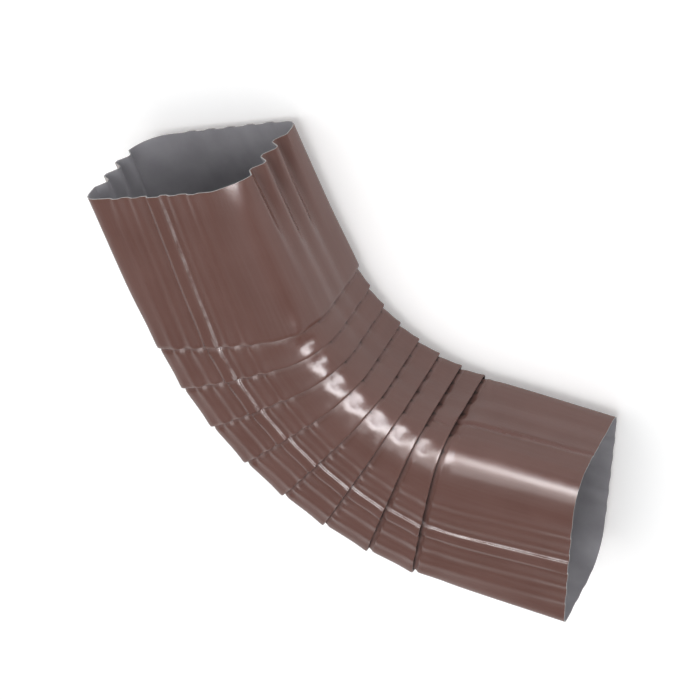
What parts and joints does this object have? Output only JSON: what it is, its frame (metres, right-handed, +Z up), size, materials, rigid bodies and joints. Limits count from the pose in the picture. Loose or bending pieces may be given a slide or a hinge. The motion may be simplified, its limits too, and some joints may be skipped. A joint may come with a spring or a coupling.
{
  "type": "downspout elbow",
  "caption": "Rectangular corrugated downspout elbow: ribbed sheet tube with a pleated bend, deep grooves at the gathered inlet rim and a lock seam on one wide face.",
  "frame": {"origin": "centre of the inlet mouth, in the plane of its rim", "axes": "+Y out of the inlet mouth along its leg, +X towards the inside of the bend, +Z up from the wide face that the elbow lies on"},
  "size_m": [0.1845, 0.2423, 0.0616],
  "materials": {
    "elbow_body": "semi-gloss baked brown enamel outside, plain grey wash coat inside"
  },
  "bodies": {
    "root": {"elbow_body": "elbow_body"}
  },
  "joints": []
}
